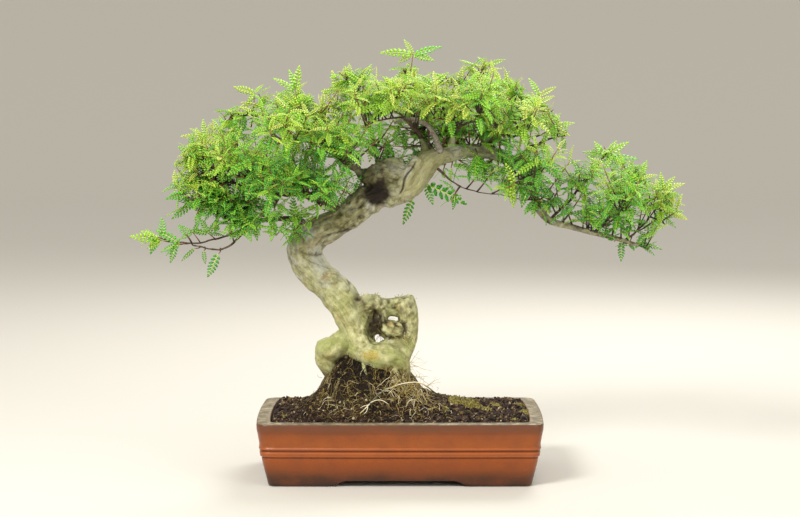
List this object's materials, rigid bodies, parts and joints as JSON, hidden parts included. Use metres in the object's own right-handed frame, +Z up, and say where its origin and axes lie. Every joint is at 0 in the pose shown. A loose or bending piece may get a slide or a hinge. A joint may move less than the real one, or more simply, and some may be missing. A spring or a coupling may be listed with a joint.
{
  "type": "bonsai",
  "caption": "Japanese pepper bonsai with a knotted base, a leaning trunk and a long side branch, in a low oblong pot with corner feet.",
  "frame": {"origin": "on the ground, under the middle of the whole plant's box", "axes": "+X along the pot's long side, towards the long side branch; +Y from the pot's front to its back; +Z up"},
  "size_m": [0.6068, 0.2332, 0.4721],
  "materials": {
    "glaze": "semi-gloss reddish-brown glazed earthenware, browner under the rim and at the foot",
    "rim": "matte grey-brown lime bloom on the top of the pot's rim",
    "screen": "matte black plastic netting",
    "soil": "dark moist granular soil",
    "wood": "olive-grey bark, greener on the roots",
    "twig": "thin brown twig bark",
    "dead_wood": "bare grey weathered wood",
    "fine_root": "dry straw-coloured fine roots",
    "moss": "yellow-green moss cushions",
    "leaf_young": "bright yellow-green young leaflets, soft sheen",
    "leaf_grown": "mid green leaflets, soft sheen",
    "leaf_shade": "dark green inner leaflets"
  },
  "bodies": {
    "root": {"pot": "glaze", "drainage_screen_left": "screen", "drainage_screen_right": "screen", "soil": "soil", "tree": "wood", "spray_farTip": "leaf_shade", "spray_farLow": "leaf_shade", "spray_leftEnd": "leaf_grown", "spray_leftLow": "leaf_shade", "spray_upLeft": "leaf_grown", "spray_leftFront": "leaf_grown", "spray_highEnd": "leaf_young", "spray_leftBrow": "leaf_grown", "spray_frontLow": "leaf_shade", "spray_frontSkirt": "leaf_shade", "spray_highMid": "leaf_young", "spray_backLeft": "leaf_grown", "spray_backHigh": "leaf_grown", "spray_backLow": "leaf_shade", "spray_lowMid": "leaf_shade", "spray_crownLeft": "leaf_young", "spray_crownMid": "leaf_young", "spray_crown": "leaf_young", "spray_crownRight": "leaf_young", "spray_crownEnd": "leaf_young", "spray_shoulderTop": "leaf_young", "spray_shoulderEnd": "leaf_grown", "spray_faceLeft": "leaf_grown", "spray_faceMid": "leaf_grown", "spray_faceRight": "leaf_grown", "spray_faceEnd": "leaf_grown", "spray_faceShoulder": "leaf_grown", "spray_rightEnd": "leaf_grown", "spray_backCrown": "leaf_grown", "spray_backShoulder": "leaf_grown", "spray_scarSkirt": "leaf_grown", "spray_rightFall": "leaf_grown", "spray_hanging": "leaf_shade", "spray_lowTip": "leaf_shade", "spray_cascadeTop": "leaf_grown", "spray_cascadeLow": "leaf_shade", "spray_cascadeHead": "leaf_grown", "spray_tipHead": "leaf_shade", "spray_cascadeFace": "leaf_shade", "spray_tipLow": "leaf_shade", "spray_tipFall": "leaf_shade", "spray_cascadeRear": "leaf_shade"}
  },
  "joints": []
}
